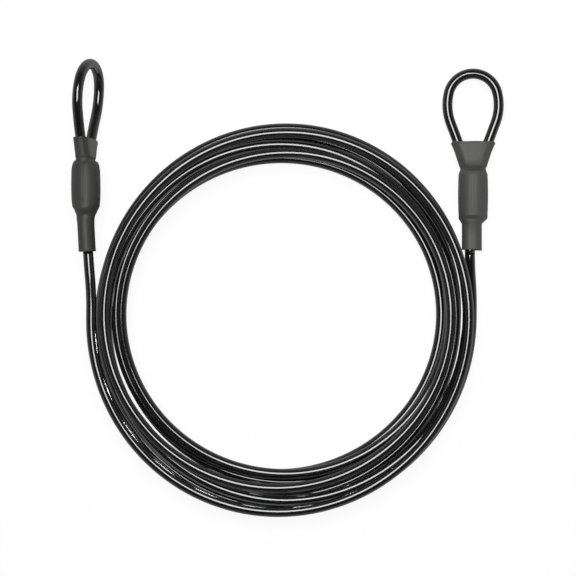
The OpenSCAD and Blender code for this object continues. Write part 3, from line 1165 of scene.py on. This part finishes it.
def drawn_steel():
    """Bright drawn steel wire, laid in strands"""
    f = finishes()
    material, tree, shader = blank_material("wire_rope_finish", f.steel_colour)
    shader.inputs["Metallic"].default_value = 1.0
    place = add_node(tree, "ShaderNodeTexCoord")
    marks = shared_group(tree, "Handling marks", handling_marks)
    marks.inputs["Patch Scale"].default_value = 400
    wires = add_node(tree, "ShaderNodeTexNoise", Detail=1.0, Scale=1800)
    join(tree, place, "Object", marks, "Place")
    join(tree, place, "Object", wires, "Vector")
    tinted(tree, f.steel_colour, 0.8, 1.15, marks.outputs["Patches"], shader)
    rough_by(tree, marks.outputs["Scuffs"], 0.28, 0.45, shader)
    raised(tree, wires.outputs["Fac"], 0.6, 0.1 * MM, shader)
    return material


def floor_card():
    """Plain pale card that fades to white in the picture and keeps the cable's shadow"""
    st = stage_settings()
    material, tree, shader = blank_material("floor_card", st.floor_colour)
    tone = add_node(tree, "ShaderNodeTexNoise", Detail=1.0, Scale=2.0)
    tinted(tree, st.floor_colour, 0.995, 1.0, tone.outputs["Fac"], shader)
    shader.inputs["Roughness"].default_value = 0.9
    shader.inputs["Specular IOR Level"].default_value = 0.0
    white = add_node(tree, "ShaderNodeEmission", Strength=CARD_GLOW)
    path = add_node(tree, "ShaderNodeLightPath")
    seen = add_node(tree, "ShaderNodeMath", operation="MAXIMUM")
    faint = add_node(tree, "ShaderNodeMath", operation="MULTIPLY")
    faint.inputs[1].default_value = MIRRORED_GLOW
    share = add_node(tree, "ShaderNodeMath", operation="MULTIPLY_ADD")
    share.inputs[1].default_value = SEEN_GLOW
    mix = add_node(tree, "ShaderNodeMixShader")
    join(tree, path, "Is Glossy Ray", seen, 0)
    join(tree, path, "Is Transmission Ray", seen, 1)
    join(tree, seen, 0, faint, 0)
    join(tree, path, "Is Camera Ray", share, 0)
    join(tree, faint, 0, share, 2)
    join(tree, share, 0, mix, 0)
    join(tree, shader, 0, mix, 1)
    join(tree, white, 0, mix, 2)
    join(tree, mix, 0, tree.nodes["Material Output"], "Surface")
    return material


# ---- operators ----


class CABLE_OT_stage(bpy.types.Operator):
    """Sets the floor, the softbox, the room light and the camera"""

    bl_idname = "cable.stage"
    bl_label = "Stage"

    def softbox(self, name, place, size, power):
        """A rectangular softbox that faces the coil"""
        lamp = bpy.data.lights.new(name, "AREA")
        lamp.shape = "RECTANGLE"
        lamp.size, lamp.size_y = size
        lamp.energy = power
        box = bpy.data.objects.new(name, lamp)
        box.location = place
        box.rotation_euler = Vector(place).to_track_quat("Z", "Y").to_euler()
        bpy.context.scene.collection.objects.link(box)

    def room(self, scene):
        """A dim room with a white horizon"""
        world = bpy.data.worlds.new("room")
        scene.world = world
        world.use_nodes = True
        tree = world.node_tree
        place = add_node(tree, "ShaderNodeTexCoord")
        split = add_node(tree, "ShaderNodeSeparateXYZ")
        join(tree, place, "Generated", split, 0)
        wall = smooth_range(tree, 0.3, 0.75, 0.4, 0.05)
        join(tree, split, "Z", wall, "Value")
        fade = smooth_range(tree, 0.02, 0.08)
        join(tree, split, "Z", fade, "Value")
        horizon = add_node(tree, "ShaderNodeMix", data_type="FLOAT")
        horizon.inputs["A"].default_value = 1.0
        join(tree, fade, "Result", horizon, "Factor")
        join(tree, wall, "Result", horizon, "B")
        path = add_node(tree, "ShaderNodeLightPath")
        strength = add_node(tree, "ShaderNodeMath", operation="MAXIMUM")
        join(tree, horizon, "Result", strength, 0)
        join(tree, path, "Is Camera Ray", strength, 1)
        join(tree, strength, 0, tree.nodes["Background"], "Strength")
        tree.nodes["Background"].inputs["Color"].default_value = (1, 1, 1, 1)

    def execute(self, context):
        scene, st = context.scene, stage_settings()
        bm = bmesh.new()
        bmesh.ops.create_grid(bm, x_segments=8, y_segments=8, size=FLOOR_HALF)
        mesh = bpy.data.meshes.new("floor")
        bm.to_mesh(mesh)
        bm.free()
        floor = bpy.data.objects.new("floor", mesh)
        scene.collection.objects.link(floor)
        mesh.materials.append(floor_card())

        self.softbox("key_softbox", SOFTBOX_PLACE, SOFTBOX_SIZE, st.key_power)

        self.room(scene)
        scene.view_settings.view_transform = "Standard"

        camera = bpy.data.cameras.new("camera")
        camera.sensor_width = SENSOR_WIDTH
        above_coil = st.camera_height - COIL_LEVEL
        camera.lens = SENSOR_WIDTH * above_coil / st.picture_width
        camera.clip_start = 0.01
        camera.dof.use_dof = False
        holder = bpy.data.objects.new("camera", camera)
        holder.location = (*CAMERA_ASIDE, st.camera_height)
        scene.collection.objects.link(holder)
        scene.camera = holder
        return {"FINISHED"}


class CABLE_OT_free_cable(bpy.types.Operator):
    """Winds the free cable: out of the left sleeve, through the coil and into the right sleeve"""

    bl_idname = "cable.free_cable"
    bl_label = "Free cable"

    def execute(self, context):
        s = sizes()
        route, left_dir, right_dir = free_route()
        last = len(route) - 1
        directions = [left_dir]
        directions += [
            (route[i + 1] - route[i - 1]).normalized() for i in range(1, last)
        ]
        directions.append(right_dir)
        bm = jacket_tube(route, directions, s.cable_d / 2, s.sides, floor=0.0)
        piece = show(
            bm,
            "free_cable",
            vinyl_jacket(),
            "vinyl_jacket",
            "coil_jacket",
            "left_lead_jacket",
            "right_lead_jacket",
        )
        return {"FINISHED"}


class CABLE_OT_eyes(bpy.types.Operator):
    """Bends the cable round the left and the right eye"""

    bl_idname = "cable.eyes"
    bl_label = "Eyes"

    def execute(self, context):
        s, z = sizes(), sleeve_sizes()
        for side, reach, bow, place in (
            ("left", z.left_reach, LEFT_BOW, left_end()),
            ("right", z.right_reach, 0, right_end()),
        ):
            points, directions = eye_route(reach, bow)
            bm = jacket_tube(points, directions, s.cable_d / 2, s.sides)
            bmesh.ops.transform(bm, matrix=place, verts=bm.verts)
            if side == "left":
                run = bm.verts.layers.float["run"]
                for v in bm.verts:
                    if v[run] < LEANING_SHARE * z.sleeve_len:
                        v.co.x += tail_lean(v.co.y)
            show(
                bm,
                side + "_eye_cable",
                vinyl_jacket(),
                "vinyl_jacket",
                side + "_eye_jacket",
            )
        return {"FINISHED"}


class CABLE_OT_sleeves(bpy.types.Operator):
    """Shrinks the sleeves over the ferrules and the roots of the legs"""

    bl_idname = "cable.sleeves"
    bl_label = "Heat-shrink sleeves"

    def execute(self, context):
        z = sleeve_sizes()
        for side, reach, place in (
            ("left", z.left_reach, left_end()),
            ("right", z.right_reach, right_end()),
        ):
            bm = shrink_sleeve(reach, SHRUNK[side])
            bmesh.ops.transform(bm, matrix=place, verts=bm.verts)
            if side == "left":
                for v in bm.verts:
                    v.co.x += tail_lean(v.co.y)
            show(
                bm,
                side + "_sleeve_film",
                shrink_film(),
                "shrink_sleeve",
                side + "_shrink_sleeve",
            )
        return {"FINISHED"}


class CABLE_OT_metal(bpy.types.Operator):
    """Gives the ferrules and the wire rope their finishes"""

    bl_idname = "cable.metal"
    bl_label = "Ferrules and wire rope"

    def execute(self, context):
        aluminium, steel = pressed_aluminium(), drawn_steel()
        for name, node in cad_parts.items():
            if name.endswith("_ferrule"):
                finish = aluminium
            elif name.endswith("_wire_rope"):
                finish = steel
            else:
                continue
            for slot in node.material_slots:
                slot.material = finish
        return {"FINISHED"}


class CABLE_PT_builder(bpy.types.Panel):
    """Lists the cable's pieces and sizes"""

    bl_idname = "CABLE_PT_builder"
    bl_label = "Two-eye security cable"
    bl_space_type = "VIEW_3D"
    bl_region_type = "UI"
    bl_category = "Cable"

    def draw(self, context):
        scene = context.scene
        for operator in PIECES:
            self.layout.operator(operator.bl_idname)
        for settings in (
            scene.cable_sizes,
            scene.cable_sleeve_sizes,
            scene.cable_finishes,
            scene.cable_stage_settings,
        ):
            box = self.layout.box()
            for name in settings.__annotations__:
                box.prop(settings, name)


PIECES = (
    CABLE_OT_stage,
    CABLE_OT_free_cable,
    CABLE_OT_eyes,
    CABLE_OT_sleeves,
    CABLE_OT_metal,
)
SETTINGS = {
    "cable_sizes": CableSizes,
    "cable_sleeve_sizes": SleeveSizes,
    "cable_finishes": Finishes,
    "cable_stage_settings": StageSettings,
}


def register():
    for kind in (*SETTINGS.values(), *PIECES, CABLE_PT_builder):
        bpy.utils.register_class(kind)
    for name, kind in SETTINGS.items():
        setattr(bpy.types.Scene, name, PointerProperty(type=kind))


def unregister():
    for name in SETTINGS:
        delattr(bpy.types.Scene, name)
    for kind in reversed((*SETTINGS.values(), *PIECES, CABLE_PT_builder)):
        bpy.utils.unregister_class(kind)


def main():
    register()
    bpy.ops.cable.stage()
    bpy.ops.cable.free_cable()
    bpy.ops.cable.eyes()
    bpy.ops.cable.sleeves()
    bpy.ops.cable.metal()


if __name__ == "__main__":
    main()
